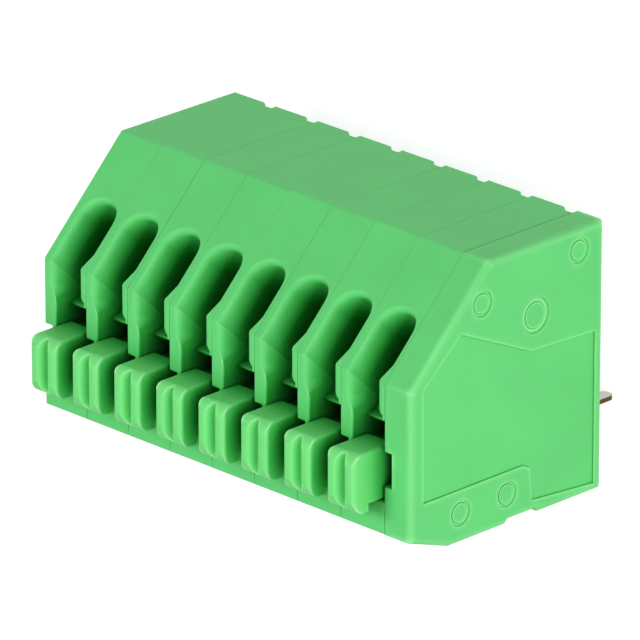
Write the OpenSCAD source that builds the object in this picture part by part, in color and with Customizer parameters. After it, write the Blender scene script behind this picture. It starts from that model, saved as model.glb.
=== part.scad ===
// Spring-clamp PCB terminal block with push buttons, stacked from single-pole modules.
// Millimetres. z = 0 is the board's face, +Z points away from the board, X runs along the row,
// and the wires go in from the -Y side at 45 degrees.

/* [Row] */
// Number of poles in the row
poles = 8; // [2:1:10]
// Distance from pole to pole
pitch = 3.5; // [3.4:0.05:3.8]
// Free space between neighbouring modules
seam = 0.02; // [0.01:0.01:0.05]
// Thickness of the end cover
cover_t = 2.1; // [1.8:0.1:3]

/* [Body] */
// Height of the button face above the board
body_h = 15.7; // [15.5:0.1:16.2]
// Depth from the wire side to the back
body_d = 16.6; // [16.4:0.1:17.2]
// Run of the wire-entry slope, equal in depth and height
slope_run = 6.3; // [6:0.1:6.6]
// Depth of the chamfer at the back of the button face
chamfer_y = 1.1; // [0.6:0.1:1.4]
// Height of that chamfer down the back
chamfer_z = 3.2; // [2:0.1:3.6]
// Thickness of each module's side wall
wall_t = 0.9; // [0.8:0.05:1]
// Thickness of the floor over the board
floor_t = 1.6; // [1.2:0.1:1.8]
// Depth of the groove in the back face
groove_d = 0.25; // [0.1:0.05:0.5]
// Height of the groove in the back face
groove_h = 2.75; // [1.5:0.05:3]
// Height of the groove's middle above the board
groove_z = 6.55; // [6:0.05:7]
// Height of the slanted sides of the groove
groove_slant = 0.3; // [0.1:0.05:0.5]
// Depth of the relief under each module's open side
foot_relief = 0.4; // [0.2:0.05:0.6]
// Width of that relief
foot_relief_w = 1; // [0.6:0.05:1.05]
// Width of the slant at the relief's end
foot_slant = 0.4; // [0.2:0.05:0.5]

/* [Wire entry] */
// Thickness of the lip between neighbouring entries
lip_t = 0.21; // [0.15:0.01:0.3]
// Thickness of the lip at the knee
lip_knee_t = 0.55; // [0.4:0.01:0.6]
// Distance of the entry's round end from the knee, down the slope
entry_reach = 4.45; // [4.2:0.05:4.6]
// Radius of the corners at the entry's round end
entry_r = 1.1; // [0.8:0.05:1.1]
// Depth of the straight part of the entry
entry_d = 3.2; // [3:0.05:3.4]
// Draft of the side wall inside the entry
entry_draft = 0.05; // [0.02:0.01:0.1]
// Width of the wall's rounded edge along the entry
flare_w = 0.65; // [0.4:0.05:0.7]
// Depth of that rounded edge
flare_d = 1.8; // [1.2:0.1:2]
// Width of the flare at the entry's round end
arch_w = 0.42; // [0.2:0.02:0.5]
// Depth of the flare at the entry's round end
arch_d = 0.45; // [0.3:0.05:0.6]
// Width of the rounded edge of the lip
lip_r = 0.1; // [0.05:0.01:0.12]
// Radius of the lip's edge at the knee
lobe_r = 0.25; // [0.1:0.05:0.3]
// Radius of the conductor throat
throat_r = 0.95; // [0.8:0.05:1]
// Distance of the conductor's axis from the knee, down the slope
throat_t = 2.45; // [2.4:0.05:2.5]
// Depth at which the throat begins
throat_d0 = 4.3; // [4.1:0.05:4.4]
// Depth at which the throat ends
throat_d1 = 5.3; // [5.2:0.05:5.4]
// Thickness of the web between the entry and the button
web_t = 0.34; // [0.3:0.02:0.4]
// Free space between that web and the button's head
web_gap = 0.86; // [0.8:0.02:0.9]
// Depth of the web's rim below the button face
rim_d = 1.3; // [1:0.05:1.6]

/* [Button] */
// Width of the button
button_w = 2.2; // [2:0.05:2.25]
// Free space between the button and its module's side wall
button_gap = 0.1; // [0.05:0.01:0.15]
// Free space before and behind the button's stem
button_gap_y = 0.1; // [0.06:0.01:0.15]
// Depth of the head without its lip
head_d = 3.17; // [3:0.01:3.2]
// Distance of the stem's back from the middle of the block
stem_back = 5.1; // [5.05:0.01:5.15]
// Height of the button's head above the button face at rest
head_h = 2.2; // [2:0.05:2.4]
// Overhang of the head's lip behind the stem
head_lip = 0.55; // [0.4:0.05:0.7]
// Height of the lip's lower edge above the button face at rest
lip_gap = 0.95; // [0.9:0.01:1]
// Overhang of the head's nose before the stem
nose = 0.35; // [0.2:0.05:0.4]
// Depth of the nose's lower edge below the button face at rest
nose_d = 1; // [0.8:0.05:1.2]
// Radius of the head's front edge
head_r = 0.8; // [0.4:0.05:1]
// Depth of the rounding at the head's back
lip_round_y = 1.15; // [0.8:0.05:1.2]
// Height of the rounding at the head's back
lip_round_z = 1; // [0.6:0.05:1.1]
// Radius of the head's upright edges
head_side_r = 0.2; // [0.1:0.05:0.3]
// Radius of the head's side edges on top
head_top_r = 0.3; // [0.1:0.05:0.35]
// Width of the groove across the head
head_groove_w = 1; // [0.6:0.05:1.1]
// Depth of that groove
head_groove_d = 0.48; // [0.2:0.02:0.5]
// Stroke of the button
button_stroke = 0.85; // [0.6:0.05:0.85]
// Depth below the button face of the ledge that holds the button in
ledge_d = 2.8; // [2.7:0.05:2.85]
// Thickness of that ledge
ledge_t = 0.5; // [0.4:0.05:0.55]
// Reach of the button's shoulder under the ledge
shoulder_l = 0.85; // [0.5:0.05:0.9]
// Height of that shoulder
shoulder_h = 0.45; // [0.4:0.05:0.5]
// Free space between the shoulder and the ledge at rest
stop_gap = 0.05; // [0.03:0.01:0.1]
// Width of the notch in each side wall beside the button
notch_w = 2.1; // [1.2:0.1:2.2]
// Distance of that notch from the head's front
notch_back = 0.2; // [0.1:0.05:0.6]
// Depth of that notch into the wall
notch_t = 0.55; // [0.3:0.05:0.6]
// Height of that notch
notch_h = 1.5; // [0.8:0.1:2]

/* [Contact] */
// Width of the solder pin
pin_w = 0.9; // [0.75:0.05:0.95]
// Thickness of the contact strip and of the pin
strip_t = 0.3; // [0.25:0.01:0.35]
// Length of the pin below the board's face
pin_len = 4.3; // [3:0.1:5]
// Radius of the corners at the pin's end
pin_r = 0.35; // [0.2:0.05:0.35]
// Distance of the pin row from the middle of the block
pin_y = 4.7; // [4.65:0.01:4.75]
// Width of the clamping plate
plate_w = 2; // [1.6:0.1:2]
// Length of the clamping plate's end in its slot
plate_seat = 0.7; // [0.4:0.05:0.7]
// Free space round the strip in its slots
strip_gap = 0.05; // [0.03:0.01:0.08]
// Free space above the clamping plate's end in its slot
slot_gap = 0.13; // [0.11:0.01:0.15]

/* [Spring] */
// Width of the clamping spring
spring_w = 2; // [1.6:0.1:2]
// Thickness of the spring strip
spring_t = 0.3; // [0.25:0.01:0.35]
// Length of the tabs that the button presses
tab_l = 1.9; // [1.7:0.05:1.95]
// Free space between the spring's coil and its post
coil_gap = 0.05; // [0.03:0.01:0.1]
// Free space between the spring's coil and the housing
coil_room = 0.4; // [0.3:0.05:0.5]
// Free space between the spring's tip and the clamping plate
tip_gap = 0.13; // [0.06:0.01:0.2]
// Free space between the button's prongs and the spring's tabs
prong_gap = 0.1; // [0.06:0.02:0.2]
// Width of each prong
prong_w = 0.5; // [0.4:0.05:0.5]
// Depth of each prong
prong_d = 1.4; // [1.2:0.05:1.5]

/* [Pegs] */
// Radius of the four small pegs
peg_r = 0.6; // [0.5:0.05:0.65]
// Radius of the large peg
big_peg_r = 0.8; // [0.7:0.05:0.85]
// Radius of the post inside the spring's coil
post_r = 1.15; // [1.1:0.05:1.2]
// Free space round each peg in its socket
peg_gap = 0.05; // [0.03:0.01:0.08]
// Distance of each peg's end from the outside of the cover
peg_sink = 0.1; // [0.05:0.01:0.2]

/* [Cover] */
// Radius of the cover's outer edges
cover_r = 0.35; // [0.2:0.05:0.5]
// Depth of the panel in the cover's outside
panel_d = 0.12; // [0.08:0.01:0.3]
// Width of the ring round each small peg in the cover's outside
ring_w = 0.13; // [0.05:0.01:0.2]
// Width of the ring round the large peg
big_ring_w = 0.25; // [0.1:0.01:0.3]
// Depth of the rings
ring_d = 0.15; // [0.05:0.01:0.3]

/* [Hidden] */
$fn = 48;
// Reach of a cut past the face that it opens, and of a blended shape into the space it joins.
over = 0.5;
blend = 0.03;

row_x0 = cover_t - (poles * pitch + cover_t) / 2;
front_y = -body_d / 2;
back_y = body_d / 2;
knee_y = front_y + slope_run;
slope_foot = body_h - slope_run;
wall_x = pitch - wall_t;
entry_wall = wall_x - entry_draft;

// The button, the ledge that holds it in and the web before it.
core_x = wall_x - button_gap - button_w / 2;
button_x0 = core_x - button_w / 2;
button_x1 = core_x + button_w / 2;
head_front = stem_back - head_d;
stem_front = head_front + nose;
shaft_back = stem_back + button_gap_y;
head_top = body_h + head_h;
lip_back = stem_back + head_lip;
notch_y0 = head_front + notch_back;
ledge_z = body_h - ledge_d;
ledge_y = stem_front - button_gap_y;
shoulder_y = ledge_y - shoulder_l;
shoulder_room = shoulder_y - 0.2;
shoulder_z = ledge_z - ledge_t - stop_gap;
stem_z = shoulder_z - shoulder_h;
web_back = head_front - web_gap;
web_front = web_back - web_t;
lip_end = web_front - 0.53;
flare_fade = [web_front - 1.25, web_front - 0.38];

// Points across the entry: t runs down the slope from the knee, d runs in along the conductor.
function entry_pt(t, d) = [knee_y + (d - t) * sin(45), body_h - (d + t) * sin(45)];

// The clamping plate lies along the conductor, just above it.
plate_t = throat_t - throat_r - strip_gap - strip_t / 2;
plate_sum = entry_pt(plate_t, 0)[0] + entry_pt(plate_t, 0)[1];
plate_y0 = entry_pt(plate_t, throat_d1 - plate_seat)[0];
plate_y1 = head_front - 0.08;
plate_room = entry_pt(plate_t - strip_t / 2 - slot_gap - 0.08, throat_d1);
throat_room = entry_pt(throat_t + throat_r + 0.5, throat_d1);
bend_z = plate_sum - pin_y;

// Pegs and the sockets that take them.
small_pegs = [
    [front_y + 1.37, 2.04],
    [front_y + 2.46, body_h - 5.75],
    [back_y - 1.84, body_h - 4.07],
    [back_y - 1.89, body_h - 7.87]
];
big_peg = [front_y + 4.35, body_h - 10.13];
peg_l = cover_t - peg_sink;
socket_l = peg_l + 0.1;

// The spring: a coil round the post, a clamping leg above and a support leg below.
coil_r = post_r + coil_gap + spring_t / 2;
chamber_r = coil_r + spring_t / 2 + coil_room;
chamber_y0 = big_peg[0] - chamber_r;
tip_y = plate_y1 + 0.13;
tip_z = plate_sum - tip_y - strip_t / 2 * sqrt(2) - tip_gap - spring_t / 2;
rest_y = pin_y - 0.7;
rest_z = floor_t + spring_t / 2 + coil_gap;
function reach(p) = norm(p - big_peg);
function heading(p) = atan2(p[1] - big_peg[1], p[0] - big_peg[0]);
leg_a = heading([tip_y, tip_z]) - asin(coil_r / reach([tip_y, tip_z]));
foot_a = heading([rest_y, rest_z]) + asin(coil_r / reach([rest_y, rest_z]));
leg_l = sqrt(pow(reach([tip_y, tip_z]), 2) - coil_r * coil_r);
foot_l = sqrt(pow(reach([rest_y, rest_z]), 2) - coil_r * coil_r);
prong_y0 = stem_front + 0.62;
prong_y1 = prong_y0 + prong_d;
tab_top = tip_z + (prong_y1 - tip_y) * tan(leg_a) + spring_t / 2 / cos(leg_a);
prong_z = tab_top + prong_gap;

pole_list = [for (k = [1:poles]) k];

// Helpers

function around(c, r, a) = [c[0] + r * cos(a), c[1] + r * sin(a)];
function along(p, a, l) = [p[0] + l * cos(a), p[1] + l * sin(a)];
function arc(c, r, a0, a1) = [for (i = [0:6]) around(c, r, a0 + (a1 - a0) * i / 6)];
function oval(c, rx, ry, a0, a1) = [
    for (i = [0:6])
        let (a = a0 + (a1 - a0) * i / 6)
            [c[0] + rx * cos(a), c[1] + ry * sin(a)]
];
function at_height(points, z) = [for (p = points) [p[0], p[1], z]];

// A rectangle with its own corner radius at each end in Y.
function rounded(x0, x1, y0, y1, r0, r1) = concat(
    arc([x0 + r0, y0 + r0], r0, 180, 270),
    arc([x1 - r0, y0 + r0], r0, 270, 360),
    arc([x1 - r1, y1 - r1], r1, 0, 90),
    arc([x0 + r1, y1 - r1], r1, 90, 180)
);

// A point on a rounded edge of radius r: how far in from the side, and how far down from the face.
function edge_in(r, a) = r * (1 - sin(a));
function edge_down(r, a) = r * (1 - cos(a));

// A rounded edge w wide and d deep: how far it has drawn back at depth z. A negative z is above the face.
function drawn(w, d, z) = z < 0 ? w - z * 3.7 : z < d ? w * (1 - sqrt(1 - pow(1 - z / d, 2))) : 0;

// A closed outline, counter-clockwise, with each of its sides drawn in by e.
function inward(a, b) = [a[1] - b[1], b[0] - a[0]] / norm(b - a);
function miter(m, n) = (m + n) / (1 + m * n);
function inset(p, e) = [
    for (i = [0:len(p) - 1])
        let (before = p[(i + len(p) - 1) % len(p)], after = p[(i + 1) % len(p)])
            p[i] + e * miter(inward(before, p[i]), inward(p[i], after))
];

// Solid through rings that have the same number of points, from the lowest ring to the highest.
module loft(rings) {
    n = len(rings[0]);
    top = (len(rings) - 1) * n;
    polyhedron(
        points = [for (ring = rings) each ring],
        faces = concat(
            [[for (i = [0:n - 1]) i]],
            [
                for (k = [0:n:top - n], i = [0:n - 1])
                    [k + n + i, k + n + (i + 1) % n, k + (i + 1) % n, k + i]
            ],
            [[for (i = [n - 1:-1:0]) top + i]]
        )
    );
}

// Turns local X to Y, local Y to Z and local Z to X.
module lengthwise(x0) {
    translate([x0, 0, 0])
        rotate([90, 0, 90])
            children();
}

// Extrudes a Y-Z outline along X from x0 to x1.
module slab(x0, x1) {
    lengthwise(x0)
        linear_extrude(x1 - x0)
            children();
}

// A rod along X.
module rod(p, r, x0, x1) {
    translate([x0, p[0], p[1]])
        rotate([0, 90, 0])
            cylinder(r = r, h = x1 - x0);
}

// Places a piece at a pole, counted from the end that has no cover.
module at_pole(k) {
    translate([row_x0 + (poles - k) * pitch, 0, 0])
        children();
}

// Local Z points out of the entry, local Y points up the slope.
module on_entry(t, d) {
    translate([0, entry_pt(t, d)[0], entry_pt(t, d)[1]])
        rotate([45, 0, 0])
            children();
}

// Body outline, shared by the modules and the cover.
outline = [
    [front_y, 0],
    [back_y, 0],
    [back_y, groove_z - groove_h / 2],
    [back_y - groove_d, groove_z - groove_h / 2 + groove_slant],
    [back_y - groove_d, groove_z + groove_h / 2 - groove_slant],
    [back_y, groove_z + groove_h / 2],
    [back_y, body_h - chamfer_z],
    [back_y - chamfer_y, body_h],
    [knee_y, body_h],
    [front_y, slope_foot]
];

// Housing module

// Space for the spring, the contact and the button, with the gap before the button's head.
module chamber() {
    slab(-over, wall_x)
        polygon([
            [chamber_y0, floor_t],
            [shaft_back, floor_t],
            [shaft_back, body_h + over],
            [web_front - blend, body_h + over],
            [web_front - blend, body_h - rim_d + web_t / 3],
            [web_front + web_t / 3, body_h - rim_d],
            [web_back, body_h - rim_d],
            [web_back, ledge_z],
            [ledge_y, ledge_z],
            [ledge_y, ledge_z - ledge_t],
            [shoulder_room, ledge_z - ledge_t],
            [shoulder_room, plate_room[1]],
            plate_room,
            throat_room,
            [chamber_y0 + chamber_r / 2, big_peg[1] + chamber_r + 0.73],
            [chamber_y0, big_peg[1] + chamber_r - 0.07]
        ]);
    slab(-over, core_x)
        translate([lip_end, body_h - rim_d + web_t / 3])
            square([web_front - lip_end + web_t / 3, rim_d + over]);
}

// Entry: a straight mouth, a cone down to the throat, and rounded edges on both faces.
module entry() {
    intersection() {
        on_entry(0, entry_d)
            linear_extrude(2 * entry_d)
                entry_face(0, entry_d);
        slab(-over, pitch)
            translate([front_y - over, 0])
                square([web_front - front_y + over, body_h + over]);
    }
    hull() {
        on_entry(0, entry_d)
            linear_extrude(0.3)
                entry_face(blend, (web_front - knee_y) / sin(45) - entry_d);
        on_entry(throat_t, throat_d0)
            translate([core_x, 0, -0.3])
                cylinder(r = throat_r - blend, h = 0.3, $fn = 32);
    }
    on_entry(0, 0)
        loft([for (z = flare_depths) slope_ring(z)]);
    translate([0, 0, body_h])
        loft([for (z = flare_depths) face_ring(z)]);
}

// Inner outline of the entry, across the conductor, drawn in by e and ending at v past the knee.
module entry_face(e, v) {
    polygon(rounded(lip_t + e, entry_wall - e, e - entry_reach, v - e, entry_r, 0.3));
}

// Depths at which the rounded edges are drawn, from the deepest up to just above the face.
flare_depths = concat(
    [flare_d, flare_d * 0.75, flare_d * 0.53],
    [for (f = [1, 0.6, 0.3, 0.1, 0.02]) f * arch_d],
    [-0.05]
);

// How far the wall, the round end and the lip have drawn back at depth z.
function wall_back(z) = drawn(flare_w * 0.9, flare_d, z) - blend / 2;
function end_back(z) = drawn(arch_w * 0.9, arch_d, z) - blend / 2;
function lip_back_at(z) = drawn(lip_r, 2 * lip_r, z) - blend;

// The rounded edge in the slope, at depth z.
function slope_ring(z) =
    let (y = entry_r - entry_reach, wall = wall_back(z), lip = lip_back_at(z))
        at_height(
            concat(
                oval([lip_t + entry_r, y], entry_r + lip, entry_r + end_back(z), 180, 270),
                oval([entry_wall - entry_r, y], entry_r + wall, entry_r + end_back(z), 270, 360),
                [[entry_wall + wall, over], [lip_t - lip, over]]
            ),
            -z
        );

// The same edge in the button face, which fades out beside the button.
function face_ring(z) =
    let (wall = wall_back(z), lip = lip_back_at(z), b = blend / 2)
        at_height(
            concat(
                [[lip_t - lip, knee_y - over], [entry_wall + wall, knee_y - over]],
                [
                    for (i = [0:6])
                        [
                            entry_wall - b + (wall + b) * (1 + cos(30 * i)) / 2,
                            flare_fade[0] + (flare_fade[1] - flare_fade[0]) * i / 6
                        ]
                ],
                [[lip_t - lip, flare_fade[1]]]
            ),
            -z
        );

// Thicker part of the lip at the knee, with its upper edge rounded.
module knee_lip() {
    lobe = concat(
        [[-pitch, knee_y - 0.85], [lip_t, knee_y - 0.85], [lip_knee_t, knee_y - 0.05]],
        arc([0, lip_end - lip_knee_t - 0.08], lip_knee_t, 0, 90),
        [[-pitch, lip_end - 0.08]]
    );
    depths = concat([entry_d], [for (f = [1, 0.6, 0.3, 0.1, 0.02]) f * lobe_r], [-0.03]);
    loft([for (z = depths) at_height(inset(lobe, drawn(lobe_r * 0.9, lobe_r, z)), body_h - z)]);
}

// Notch beside the button, in the face that the outline is extruded from.
module notch() {
    translate([notch_y0, body_h - notch_h])
        square([notch_w, notch_h + over]);
}

module housing(k) {
    color([0.3, 0.68, 0.36])
        at_pole(k)
            difference() {
                union() {
                    difference() {
                        slab(seam, pitch)
                            polygon(outline);
                        chamber();
                        difference() {
                            entry();
                            knee_lip();
                        }
                        on_entry(throat_t, throat_d1 + 0.3)
                            translate([core_x, 0, 0])
                                cylinder(r = throat_r, h = throat_d1 - throat_d0 + 0.4);
                    }
                    rod(big_peg, post_r, seam, wall_x + 0.1);
                    rod(big_peg, big_peg_r, -peg_l, 0.3);
                    for (p = small_pegs)
                        rod(p, peg_r, -peg_l, 0.3);
                }
                rod(big_peg, big_peg_r + peg_gap, pitch - socket_l, pitch + over);
                for (p = small_pegs)
                    rod(p, peg_r + peg_gap, pitch - socket_l, pitch + over);
                plate_slot();
                pin_slot();
                foot_relief_cut();
                slab(pitch - notch_t, pitch + over)
                    notch();
            }
}

// Slot that holds the upper end of the clamping plate, open to the module's open side.
module plate_slot() {
    on_entry(plate_t, throat_d1 + 0.3)
        translate([-over, -strip_t / 2 - strip_gap, 0])
            cube([core_x + plate_w / 2 + strip_gap + over, strip_t + strip_gap + slot_gap, plate_seat + 0.35]);
}

// Slot for the pin through the floor, open to the module's open side.
module pin_slot() {
    translate([-over, pin_y - strip_t / 2 - strip_gap, -over])
        cube([core_x + pin_w / 2 + strip_gap + over, strip_t + 2 * strip_gap, floor_t + 2 * over]);
}

// Relief under the open side of the module.
module foot_relief_cut() {
    translate([0, back_y + over, 0])
        rotate([90, 0, 0])
            linear_extrude(body_d + 2 * over)
                polygon([
                    [-over, -over],
                    [foot_relief_w, -over],
                    [foot_relief_w, 0],
                    [foot_relief_w - foot_slant, foot_relief],
                    [-over, foot_relief]
                ]);
}

// End cover

// The cover's plate, with its outer edges rounded.
module cover_plate() {
    lengthwise(0)
        loft(concat(
            [for (a = [0:15:90]) at_height(inset(outline, edge_in(cover_r, a)), edge_down(cover_r, a))],
            [at_height(outline, cover_t)]
        ));
}

// Shallow panel in the cover's outside.
module panel() {
    polygon([
        [knee_y + 0.12, body_h - 1.03],
        [front_y + 3.86, body_h - 4.06],
        [front_y + 6.43, body_h - 9.71],
        [front_y + 6.68, 0.66],
        [back_y - 0.5, 0.65],
        [back_y - 0.94, groove_z - 0.8],
        [back_y - 3, groove_z - 0.6],
        [back_y - 3.29, groove_z],
        [back_y - 3.29, body_h - 1.07]
    ]);
}

// Hole for a peg, with the ring round its mouth.
module peg_hole(p, r, ring) {
    rod(p, r + peg_gap, -over, cover_t + over);
    rod(p, r + peg_gap + ring, -over, ring_d);
}

module end_cover() {
    color([0.3, 0.68, 0.36])
        translate([row_x0 - cover_t, 0, 0])
            difference() {
                cover_plate();
                slab(-over, panel_d)
                    panel();
                for (p = small_pegs)
                    peg_hole(p, peg_r, ring_w);
                peg_hole(big_peg, big_peg_r, big_ring_w);
                slab(cover_t - notch_t, cover_t + over)
                    notch();
            }
}

// Push button

// Side outline of the head and its stem.
module head_side() {
    polygon(concat(
        arc([head_front + head_r, head_top - head_r], head_r, 180, 90),
        oval([lip_back - lip_round_y, head_top - lip_round_z], lip_round_y, lip_round_z, 90, 0),
        [
            [lip_back, body_h + lip_gap],
            [stem_back, body_h + lip_gap],
            [stem_back, stem_z],
            [stem_front, stem_z],
            [stem_front, body_h - nose_d + 0.15],
            [head_front, body_h - nose_d]
        ]
    ));
}

// Side outline of the shoulder that catches under the ledge.
module shoulder_side() {
    translate([shoulder_y, stem_z])
        square([stem_back - shoulder_y - over, shoulder_h]);
}

// Side outline of one of the two prongs that straddle the contact and press the spring.
module prong_side() {
    polygon([
        [prong_y0, stem_z + 0.2],
        [prong_y0, prong_z + 0.3],
        [prong_y1 - 0.4, prong_z],
        [prong_y1, prong_z],
        [prong_y1, stem_z + 0.2]
    ]);
}

// The head from the front: rounded side edges and a soft groove across the top.
module head_face() {
    polygon(concat(
        [[button_x0, stem_z - over], [button_x1, stem_z - over]],
        arc([button_x1 - head_top_r, head_top - head_top_r], head_top_r, 0, 90),
        [
            for (a = [180:-20:-180])
                [
                    core_x + head_groove_w / 2 * a / 180,
                    head_top - head_groove_d * (1 + cos(a)) / 2
                ]
        ],
        arc([button_x0 + head_top_r, head_top - head_top_r], head_top_r, 90, 180)
    ));
}

// The head and its stem: what the side, the top and the front outline have in common.
module head() {
    intersection() {
        slab(button_x0, button_x1)
            head_side();
        translate([0, 0, stem_z - over])
            linear_extrude(head_top)
                polygon(rounded(
                    button_x0, button_x1, head_front, lip_back, head_side_r, head_side_r
                ));
        translate([0, lip_back + over, 0])
            rotate([90, 0, 0])
                linear_extrude(head_d + head_lip + 2 * over)
                    head_face();
    }
}

module button(k) {
    color([0.33, 0.72, 0.4])
        at_pole(k)
            union() {
                head();
                slab(button_x0, button_x1)
                    shoulder_side();
                for (x = [button_x0, button_x1 - prong_w])
                    slab(x, x + prong_w)
                        prong_side();
            }
}

// Clamping spring

// Outline of the bent strip: tabs, clamping leg, coil and support leg.
module spring_side() {
    turn = 180 + foot_a - leg_a;
    end = along(around(big_peg, coil_r, 90 + leg_a), leg_a, leg_l + tab_l);
    foot = along(around(big_peg, coil_r, 270 + foot_a), foot_a, foot_l);
    h = spring_t / 2;
    polygon(concat(
        [along(end, leg_a + 90, h)],
        [for (i = [0:12]) around(big_peg, coil_r + h, 90 + leg_a + i * turn / 12)],
        [along(foot, foot_a - 90, h)],
        [along(foot, foot_a + 90, h)],
        [for (i = [12:-1:0]) around(big_peg, coil_r - h, 90 + leg_a + i * turn / 12)],
        [along(end, leg_a - 90, h)]
    ));
}

module spring(k) {
    color([0.72, 0.73, 0.75])
        at_pole(k)
            difference() {
                slab(core_x - spring_w / 2, core_x + spring_w / 2)
                    spring_side();
                translate([core_x - pin_w / 2 - tip_gap, tip_y, tip_z - tab_l])
                    cube([pin_w + 2 * tip_gap, 2 * tab_l, 2 * tab_l]);
            }
}

// Contact

// Outline of the sloping part, from y0 to y1 along the conductor.
module strip_slope(y0, y1) {
    h = strip_t / 2 * sin(45);
    polygon([
        [y0 - h, plate_sum - y0 - h],
        [y1 - h, plate_sum - y1 - h],
        [y1 + h, plate_sum - y1 + h],
        [y0 + h, plate_sum - y0 + h]
    ]);
}

// Face of the pin, with its rounded end.
module pin_face() {
    translate([-pin_w / 2, pin_r - pin_len])
        square([pin_w, bend_z + pin_len - pin_r]);
    translate([pin_r - pin_w / 2, -pin_len])
        square([pin_w - 2 * pin_r, 2 * pin_r]);
    for (s = [-1, 1])
        translate([s * (pin_w / 2 - pin_r), pin_r - pin_len])
            circle(r = pin_r);
}

module contact(k) {
    color([0.8, 0.79, 0.76])
        at_pole(k)
            union() {
                slab(core_x - plate_w / 2, core_x + plate_w / 2)
                    strip_slope(plate_y0, plate_y1);
                slab(core_x - pin_w / 2, core_x + pin_w / 2)
                    strip_slope(plate_y1 - strip_t / 3, pin_y);
                rod([pin_y, bend_z], strip_t / 2, core_x - pin_w / 2, core_x + pin_w / 2);
                translate([core_x, pin_y + strip_t / 2, 0])
                    rotate([90, 0, 0])
                        linear_extrude(strip_t)
                            pin_face();
            }
}

for (k = pole_list) {
    housing(k);
    button(k);
    spring(k);
    contact(k);
}
end_cover();
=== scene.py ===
import math

import bmesh
import bpy
from mathutils import Matrix, Vector


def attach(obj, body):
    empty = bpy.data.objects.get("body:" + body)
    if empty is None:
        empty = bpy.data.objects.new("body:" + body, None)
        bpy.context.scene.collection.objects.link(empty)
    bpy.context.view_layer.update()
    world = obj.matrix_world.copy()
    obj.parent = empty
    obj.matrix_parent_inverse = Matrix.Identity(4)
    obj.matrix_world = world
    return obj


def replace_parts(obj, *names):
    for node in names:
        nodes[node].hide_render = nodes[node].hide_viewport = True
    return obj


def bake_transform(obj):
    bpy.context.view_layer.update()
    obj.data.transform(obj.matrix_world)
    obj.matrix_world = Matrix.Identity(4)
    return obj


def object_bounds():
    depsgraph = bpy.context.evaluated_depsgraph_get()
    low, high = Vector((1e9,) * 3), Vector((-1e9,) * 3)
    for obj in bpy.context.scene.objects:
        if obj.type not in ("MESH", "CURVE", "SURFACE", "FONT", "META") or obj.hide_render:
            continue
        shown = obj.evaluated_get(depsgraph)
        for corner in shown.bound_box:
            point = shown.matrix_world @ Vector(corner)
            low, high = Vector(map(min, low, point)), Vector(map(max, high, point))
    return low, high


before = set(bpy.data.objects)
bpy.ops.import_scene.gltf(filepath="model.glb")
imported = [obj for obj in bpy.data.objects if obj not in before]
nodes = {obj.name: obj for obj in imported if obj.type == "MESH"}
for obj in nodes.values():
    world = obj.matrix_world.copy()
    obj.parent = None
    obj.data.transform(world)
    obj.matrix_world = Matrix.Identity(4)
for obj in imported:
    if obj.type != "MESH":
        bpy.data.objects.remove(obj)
cad_lo, cad_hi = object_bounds()
scene = bpy.context.scene
MM = 0.001

# The solids' own sizes that the scene goes by
POLES = range(1, 9)
PITCH = 3.5 * MM
SEAM = 0.02 * MM
KNEE = Vector((0.0, -2.0, 15.7)) * MM
DOWN_SLOPE = Vector((0.0, 1.0, 1.0)).normalized()
ENTRY_WALL = 0.95 * MM
SLOT_WALL = 0.9 * MM
SLOT_START = 0.7 * MM
RING_DEPTH = 0.15 * MM

# How near two points or planes count as one
SAME_POINT = 1e-7
SAME_PLANE = 1e-6
JOINED = 1e-6
IN_SEAM = 1e-5

# Rounded edges: only edges within RIM of the outside, on one of these sides
SHARP = math.radians(36.0)
FLAT = math.radians(1.0)
RIM = 1.4 * MM
SIDES = (
    (0, -1, 0),
    (0, 1, 0),
    (0, 0, 1),
    (0, 0, -1),
    (0, -1, 1),
    (-1, 0, 0),
)
OUTWARD = [Vector(side).normalized() for side in SIDES]
HOUSING_ROUND = 0.15 * MM
COVER_ROUND = 0.06 * MM
BUTTON_ROUND = 0.05 * MM
STRIP_ROUND = 0.02 * MM
SHORTEST_EDGE = 0.25 * MM
SHORTEST_COVER_EDGE = 0.04 * MM
SEAM_WEIGHT = 0.25
ROUND_STEPS = 3
FLAT_FACE_WEIGHT = 80
RING_CLOSE = 0.06 * MM


# Materials

FLOW_SCALE = 260.0
GRAIN_SCALE = 6500.0
GRAIN_HEIGHT = 0.02 * MM
# Painted shade: ambient occlusion darkens the colour in crevices, recesses and between parts, down
# through these stops
SHADE_REACH = 4.0 * MM
DARKEST_SHADE = (0.08, (0.008, 0.11, 0.014))
CREVICE_SHADE = ((0.35, (0.024, 0.36, 0.045)), (0.6, (0.06, 0.53, 0.095)))
OPEN_FROM = 0.8
AO_SAMPLES = 8
CREASE_HEIGHT = 0.2 * MM
CREASE_REACH = 0.6 * MM
HOUSING_GREEN = (0.131, 0.65, 0.188)
BUTTON_GREEN = (0.175, 0.76, 0.21)


def new_material(name):
    mat = bpy.data.materials.new(name)
    mat.use_nodes = True
    tree = mat.node_tree
    return mat, tree, tree.nodes["Principled BSDF"]


def add(tree, kind, **values):
    """A new node; each value goes to the input of that name, or else to the node's own setting."""
    node = tree.nodes.new(kind)
    for key, value in values.items():
        if key in node.inputs:
            node.inputs[key].default_value = value
        else:
            setattr(node, key, value)
    return node


def compute(tree, operation, a, b=None):
    """A Math node on one or two values, the second a socket or a number."""
    node = add(tree, "ShaderNodeMath", operation=operation)
    tree.links.new(a, node.inputs[0])
    if isinstance(b, bpy.types.NodeSocket):
        tree.links.new(b, node.inputs[1])
    elif b is not None:
        node.inputs[1].default_value = b
    return node.outputs["Value"]


def ranged(tree, value, start, end, low=0.0, high=1.0):
    """The value, taken from start..end to low..high and held at both ends."""
    node = add(tree, "ShaderNodeMapRange")
    node.inputs["From Min"].default_value = start
    node.inputs["From Max"].default_value = end
    node.inputs["To Min"].default_value = low
    node.inputs["To Max"].default_value = high
    tree.links.new(value, node.inputs["Value"])
    return node.outputs["Result"]


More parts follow.
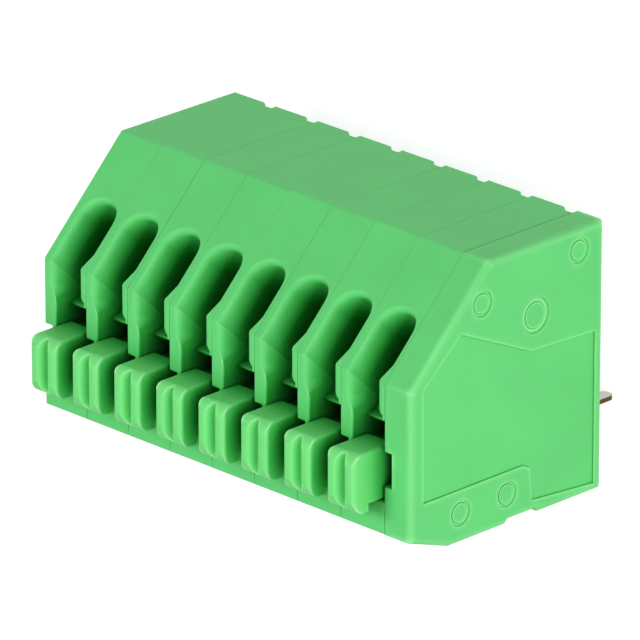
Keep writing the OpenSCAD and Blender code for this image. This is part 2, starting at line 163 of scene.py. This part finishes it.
def parts_of(tree, vector):
    """The X, Y and Z of a vector, as sockets."""
    node = add(tree, "ShaderNodeSeparateXYZ")
    tree.links.new(vector, node.inputs["Vector"])
    return node.outputs


def off_seam(tree, coord):
    """0 along the seams between modules, 1 away from them."""
    x = parts_of(tree, coord.outputs["Object"])["X"]
    along = compute(tree, "SUBTRACT", x, cad_hi.x)
    nearest = compute(tree, "PINGPONG", along, PITCH / 2)
    return ranged(tree, nearest, 0.2 * MM, 0.6 * MM)


def knee_crease(tree, coord):
    """The soft crease across the walls of each wire entry, level with the knee of the housing."""
    across = add(tree, "ShaderNodeVectorMath", operation="DOT_PRODUCT")
    tree.links.new(coord.outputs["Object"], across.inputs[0])
    across.inputs[1].default_value = DOWN_SLOPE
    signed = compute(tree, "SUBTRACT", across.outputs["Value"], KNEE.dot(DOWN_SLOPE))
    away = compute(tree, "ABSOLUTE", signed)
    ridge = compute(tree, "EXPONENT", compute(tree, "DIVIDE", away, -CREASE_REACH))
    # The flat face normal has no slope of its own, so the mask leaves no line in the bump
    face = add(tree, "ShaderNodeNewGeometry")
    local = add(tree, "ShaderNodeVectorTransform", vector_type="NORMAL")
    local.convert_from = "WORLD"
    local.convert_to = "OBJECT"
    tree.links.new(face.outputs["True Normal"], local.inputs["Vector"])
    x = parts_of(tree, local.outputs["Vector"])["X"]
    wall = ranged(tree, compute(tree, "ABSOLUTE", x), 0.15, 0.5)
    not_end = ranged(tree, x, 0.98, 0.9)
    inside = compute(tree, "MULTIPLY", wall, not_end)
    bump = add(tree, "ShaderNodeBump", Strength=1.0, Distance=CREASE_HEIGHT)
    tree.links.new(compute(tree, "MULTIPLY", ridge, inside), bump.inputs["Height"])
    return bump.outputs["Normal"]


def polyamide(name, open_face, edge, edge_wear_and_highlight, edge_reach, seed, seams=True, crease=False):
    """Moulded polyamide: faint flow marks and a fine grain, with painted shade in crevices and a painted
    highlight, partly whitened wear, on outer edges.
    """
    mat, tree, bsdf = new_material(name)
    link = tree.links.new
    coord = add(tree, "ShaderNodeTexCoord")
    flow = add(tree, "ShaderNodeTexNoise", Scale=FLOW_SCALE, Detail=3.0, Roughness=0.5)
    flow.noise_dimensions = "4D"
    flow.inputs["W"].default_value = seed
    link(coord.outputs["Object"], flow.inputs["Vector"])
    # Painted shade: ambient occlusion darkens the colour in crevices and between parts
    shade_occlusion = add(tree, "ShaderNodeAmbientOcclusion", samples=AO_SAMPLES)
    shade_occlusion.inputs["Distance"].default_value = SHADE_REACH
    shade_ramp = add(tree, "ShaderNodeValToRGB")
    stops = shade_ramp.color_ramp.elements
    stops[0].position = DARKEST_SHADE[0]
    stops[0].color = (*DARKEST_SHADE[1], 1.0)
    stops[1].position = OPEN_FROM
    stops[1].color = (*open_face, 1.0)
    for position, colour in CREVICE_SHADE:
        stops.new(position).color = (*colour, 1.0)
    link(shade_occlusion.outputs["AO"], shade_ramp.inputs["Fac"])
    tint = add(tree, "ShaderNodeHueSaturation")
    link(shade_ramp.outputs["Color"], tint.inputs["Color"])
    link(ranged(tree, flow.outputs["Fac"], 0.3, 0.7, 0.965, 1.03), tint.inputs["Value"])
    # Painted highlight, partly whitened wear: convex outer edges turn pale towards the edge colour, kept
    # off crevices and seams
    corner = add(tree, "ShaderNodeAmbientOcclusion", samples=AO_SAMPLES, inside=True, only_local=True)
    corner.inputs["Distance"].default_value = edge_reach
    wear_and_highlight_mask = ranged(tree, corner.outputs["AO"], 0.92, 0.5, 0.0, edge_wear_and_highlight)
    clear = ranged(tree, shade_occlusion.outputs["AO"], 0.6, 0.9)
    rim = compute(tree, "MULTIPLY", wear_and_highlight_mask, clear)
    if seams:
        rim = compute(tree, "MULTIPLY", rim, off_seam(tree, coord))
    wear_and_highlight_mix = add(tree, "ShaderNodeMix", data_type="RGBA")
    link(rim, wear_and_highlight_mix.inputs["Factor"])
    link(tint.outputs["Color"], wear_and_highlight_mix.inputs["A"])
    wear_and_highlight_mix.inputs["B"].default_value = (*edge, 1.0)
    link(wear_and_highlight_mix.outputs["Result"], bsdf.inputs["Base Color"])
    grain = add(tree, "ShaderNodeTexNoise", Scale=GRAIN_SCALE, Detail=2.0, Roughness=0.6)
    link(coord.outputs["Object"], grain.inputs["Vector"])
    bump = add(tree, "ShaderNodeBump", Strength=0.08, Distance=GRAIN_HEIGHT)
    link(grain.outputs["Fac"], bump.inputs["Height"])
    if crease:
        link(knee_crease(tree, coord), bump.inputs["Normal"])
    link(bump.outputs["Normal"], bsdf.inputs["Normal"])
    link(ranged(tree, flow.outputs["Fac"], 0.0, 1.0, 0.42, 0.54), bsdf.inputs["Roughness"])
    bsdf.inputs["Specular IOR Level"].default_value = 0.16
    bsdf.inputs["Subsurface Weight"].default_value = 0.12
    bsdf.inputs["Subsurface Radius"].default_value = (0.25, 1.0, 0.35)
    bsdf.inputs["Subsurface Scale"].default_value = 0.4 * MM
    return mat


def metal(name, base, cut, rough_lo, rough_hi):
    """Rolled strip: fine lines, uneven roughness, and another colour on the cut edges."""
    mat, tree, bsdf = new_material(name)
    link = tree.links.new
    coord = add(tree, "ShaderNodeTexCoord")
    stretch = add(tree, "ShaderNodeMapping")
    stretch.inputs["Scale"].default_value = (9000.0, 500.0, 500.0)
    link(coord.outputs["Object"], stretch.inputs["Vector"])
    lines = add(tree, "ShaderNodeTexNoise", Scale=1.0, Detail=3.0, Roughness=0.6)
    link(stretch.outputs["Vector"], lines.inputs["Vector"])
    link(ranged(tree, lines.outputs["Fac"], 0.0, 1.0, rough_lo, rough_hi), bsdf.inputs["Roughness"])
    tint = add(tree, "ShaderNodeHueSaturation")
    tint.inputs["Color"].default_value = (*base, 1.0)
    link(ranged(tree, lines.outputs["Fac"], 0.0, 1.0, 0.85, 1.1), tint.inputs["Value"])
    y = parts_of(tree, coord.outputs["Normal"])["Y"]
    strip = add(tree, "ShaderNodeMix", data_type="RGBA")
    link(ranged(tree, compute(tree, "ABSOLUTE", y), 0.35, 0.6), strip.inputs["Factor"])
    strip.inputs["A"].default_value = (*cut, 1.0)
    link(tint.outputs["Color"], strip.inputs["B"])
    link(strip.outputs["Result"], bsdf.inputs["Base Color"])
    bsdf.inputs["Metallic"].default_value = 1.0
    return mat


# The edge colours are painted highlights on the outer edges, partly whitened wear; the cover's painted
# highlight is the strongest
green = polyamide(
    "housing_green", HOUSING_GREEN, edge=(0.3, 0.9, 0.33),
    edge_wear_and_highlight=0.5, edge_reach=0.25 * MM, seed=0.0, crease=True,
)
cover_green = polyamide(
    "cover_green", HOUSING_GREEN, edge=(0.4, 0.96, 0.42),
    edge_wear_and_highlight=1.0, edge_reach=0.5 * MM, seed=2.0,
)
button_green = polyamide(
    "button_green", BUTTON_GREEN, edge=(0.5, 0.96, 0.52),
    edge_wear_and_highlight=0.9, edge_reach=0.25 * MM, seed=4.0, seams=False,
)
tin = metal("tin_plate", (0.56, 0.54, 0.51), (0.13, 0.07, 0.03), 0.22, 0.4)
steel = metal("spring_steel", (0.6, 0.6, 0.6), (0.45, 0.45, 0.45), 0.2, 0.35)


# Pieces

def mark_edges(mesh, least, seams):
    """Gives each long outward edge near the outside a bevel weight, a lesser one along a seam."""
    bm = bmesh.new()
    bm.from_mesh(mesh)
    bm.verts.ensure_lookup_table()
    source = bm.verts.layers.int.new("source")
    for v in bm.verts:
        v[source] = v.index
    same = bmesh.ops.find_doubles(bm, verts=bm.verts, dist=SAME_POINT)["targetmap"]
    first = list(range(len(bm.verts)))
    for v, target in same.items():
        first[v.index] = target.index
    bmesh.ops.weld_verts(bm, targetmap=same)
    reach = [(d, max(d.dot(v.co) for v in bm.verts) - RIM) for d in OUTWARD]
    rounded = {}
    for edge in bm.edges:
        if len(edge.link_faces) != 2 or edge.calc_length() < least:
            continue
        if edge.calc_face_angle_signed() < SHARP:
            continue
        p, q = edge.verts
        if not any(d.dot(p.co) > low and d.dot(q.co) > low for d, low in reach):
            continue
        in_seam = any(abs(p.co.x - x) < IN_SEAM and abs(q.co.x - x) < IN_SEAM for x in seams)
        rounded[frozenset((p[source], q[source]))] = SEAM_WEIGHT if in_seam else 1.0
    bm.free()
    weight = mesh.attributes.new("bevel_weight_edge", "FLOAT", "EDGE")
    for edge in mesh.edges:
        key = frozenset(first[i] for i in edge.vertices)
        weight.data[edge.index].value = rounded.get(key, 0.0)


def close_rings(obj):
    """Closes the hair-fine gap round each peg in the cover, so that it shows as a fine groove."""
    floor_x = cad_lo.x + RING_DEPTH
    rim = [v.index for v in obj.data.vertices if abs(v.co.x - floor_x) < SAME_PLANE]
    group = obj.vertex_groups.new(name="rim")
    group.add(rim, 1.0, "REPLACE")
    close = obj.modifiers.new("close", "DISPLACE")
    close.vertex_group = group.name
    close.direction = "NORMAL"
    close.mid_level = 0.0
    close.strength = RING_CLOSE


def dress(obj, mat, bevel, least=SHORTEST_EDGE, seams=(), rings=False):
    """Gives a piece its material, its rounded edges and even shading."""
    mesh = obj.data
    mesh.materials.clear()
    mesh.materials.append(mat)
    if "custom_normal" in mesh.attributes:
        mesh.attributes.remove(mesh.attributes["custom_normal"])
    for poly in mesh.polygons:
        poly.use_smooth = True
    mark_edges(mesh, least, seams)
    weld = obj.modifiers.new("weld", "WELD")
    weld.merge_threshold = SAME_POINT
    flat = obj.modifiers.new("flat", "DECIMATE")
    flat.decimate_type = "DISSOLVE"
    flat.angle_limit = FLAT
    if rings:
        close_rings(obj)
    edge = obj.modifiers.new("edge", "BEVEL")
    edge.width = bevel
    edge.segments = ROUND_STEPS
    edge.limit_method = "WEIGHT"
    edge.use_clamp_overlap = False
    edge.miter_outer = "MITER_ARC"
    join = obj.modifiers.new("join", "WELD")
    join.merge_threshold = JOINED
    split = obj.modifiers.new("split", "EDGE_SPLIT")
    split.split_angle = SHARP
    level = obj.modifiers.new("level", "WEIGHTED_NORMAL")
    level.weight = FLAT_FACE_WEIGHT


def copy_of(node, name):
    """A piece with the node's mesh that shows in its place, so that the CAD object stays as it is."""
    piece = bpy.data.objects.new(name, nodes[node].data.copy())
    scene.collection.objects.link(piece)
    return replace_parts(piece, node)


def fit_module(mesh, wall):
    """Lets the open side meet the next module, and evens the fine step beside the button's slot."""
    for v in mesh.vertices:
        if abs(v.co.x - wall + PITCH - SEAM) < SAME_PLANE:
            v.co.x = wall - PITCH
        elif (
            abs(v.co.x - wall + SLOT_WALL) < SAME_PLANE
            and abs(v.co.y - SLOT_START) < SAME_PLANE
        ):
            v.co.x = wall - ENTRY_WALL


def clamping_spring(k):
    """The spring, copied from the CAD node and set in its place."""
    spring = copy_of(f"spring_{k}", f"clamping_spring_{k}")
    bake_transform(spring)
    return spring


for k in POLES:
    wall = cad_hi.x - (k - 1) * PITCH
    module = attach(copy_of(f"housing_{k}", f"module_{k}"), "block")
    fit_module(module.data, wall)
    dress(module, green, HOUSING_ROUND, seams=(wall, wall - PITCH))
    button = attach(copy_of(f"button_{k}", f"push_button_{k}"), f"button_{k}")
    dress(button, button_green, BUTTON_ROUND)
    dress(clamping_spring(k), steel, STRIP_ROUND)
    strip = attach(copy_of(f"contact_{k}", f"contact_strip_{k}"), "block")
    dress(strip, tin, STRIP_ROUND)
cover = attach(copy_of("end_cover", "closing_cover"), "block")
dress(cover, cover_green, COVER_ROUND, least=SHORTEST_COVER_EDGE, rings=True)


# Camera, fitted to the photograph

camera = bpy.data.cameras.new("camera")
camera.lens = 498.1144
camera.sensor_width = 36.0
camera.clip_start = 0.05
camera.clip_end = 5.0
cam = bpy.data.objects.new("camera", camera)
scene.collection.objects.link(cam)
right = Vector((-0.70549137, -0.00028539, -0.70871845))
up = Vector((0.25970515, -0.93054441, -0.25814789))
back = Vector((-0.65942032, -0.36617894, 0.65656517))
place = Vector((-338.54841, -188.13552, 345.03136)) * MM
turn = Matrix((right, up, back)).transposed().to_4x4()
cam.matrix_world = Matrix.Translation(place) @ turn
scene.camera = cam


# Floor, white to the camera, that keeps the shadow

FLOOR_SIZE = 2.0
FLOOR_COLOUR = (0.85, 0.85, 0.85, 1.0)
SHADOW_COLOUR = (0.3, 0.3, 0.3, 1.0)
FLOOR_GLOW = 0.86


def seen_directly(tree):
    """1 for what the camera, a reflection or a clear piece sees, 0 for the light that it gives."""
    path = tree.nodes.new("ShaderNodeLightPath")
    total = path.outputs["Is Camera Ray"]
    for name in ("Is Glossy Ray", "Is Transmission Ray"):
        total = compute(tree, "MAXIMUM", total, path.outputs[name])
    return total


def floor_material():
    mat = bpy.data.materials.new("floor_white")
    mat.use_nodes = True
    tree = mat.node_tree
    tree.nodes.clear()
    link = tree.links.new
    plain = add(tree, "ShaderNodeBsdfDiffuse", Color=FLOOR_COLOUR)
    shadow = add(tree, "ShaderNodeBsdfDiffuse", Color=SHADOW_COLOUR)
    glow = add(tree, "ShaderNodeEmission", Strength=FLOOR_GLOW)
    lit = add(tree, "ShaderNodeAddShader")
    link(glow.outputs["Emission"], lit.inputs[0])
    link(shadow.outputs["BSDF"], lit.inputs[1])
    choice = add(tree, "ShaderNodeMixShader")
    link(seen_directly(tree), choice.inputs["Fac"])
    link(plain.outputs["BSDF"], choice.inputs[1])
    link(lit.outputs["Shader"], choice.inputs[2])
    out = add(tree, "ShaderNodeOutputMaterial")
    link(choice.outputs["Shader"], out.inputs["Surface"])
    return mat


bpy.ops.mesh.primitive_plane_add(size=FLOOR_SIZE, location=(0, 0, cad_lo.z))
floor = bpy.context.object
floor.name = "floor"
floor.data.materials.append(floor_material())


# Light

LIGHT_CENTRE = Vector((0, 0, 8 * MM))
LIGHT_DISTANCE = 0.5
LIGHT_SIZE = 0.25
AMBIENT = 0.02
BACKGROUND = 1.0


def area(name, toward, watts):
    """A square soft light that looks at the middle of the part from that direction."""
    data = bpy.data.lights.new(name, "AREA")
    data.size = LIGHT_SIZE
    data.energy = watts
    obj = bpy.data.objects.new(name, data)
    scene.collection.objects.link(obj)
    direction = Vector(toward).normalized()
    obj.location = LIGHT_CENTRE + direction * LIGHT_DISTANCE
    obj.rotation_mode = "QUATERNION"
    obj.rotation_quaternion = direction.to_track_quat("Z", "Y")


area("key", (0.3, -0.3, 0.9), 1.6)
area("fill", (-0.85, -0.22, 0.45), 1.2)
area("side", (-0.75, 0.35, 0.55), 0.85)

world = bpy.data.worlds.new("world")
scene.world = world
world.use_nodes = True
world_tree = world.node_tree
sky = world_tree.nodes["Background"]
sky.inputs["Color"].default_value = (1, 1, 1, 1)
strength = ranged(world_tree, seen_directly(world_tree), 0.0, 1.0, AMBIENT, BACKGROUND)
world_tree.links.new(strength, sky.inputs["Strength"])

scene.view_settings.view_transform = "Standard"
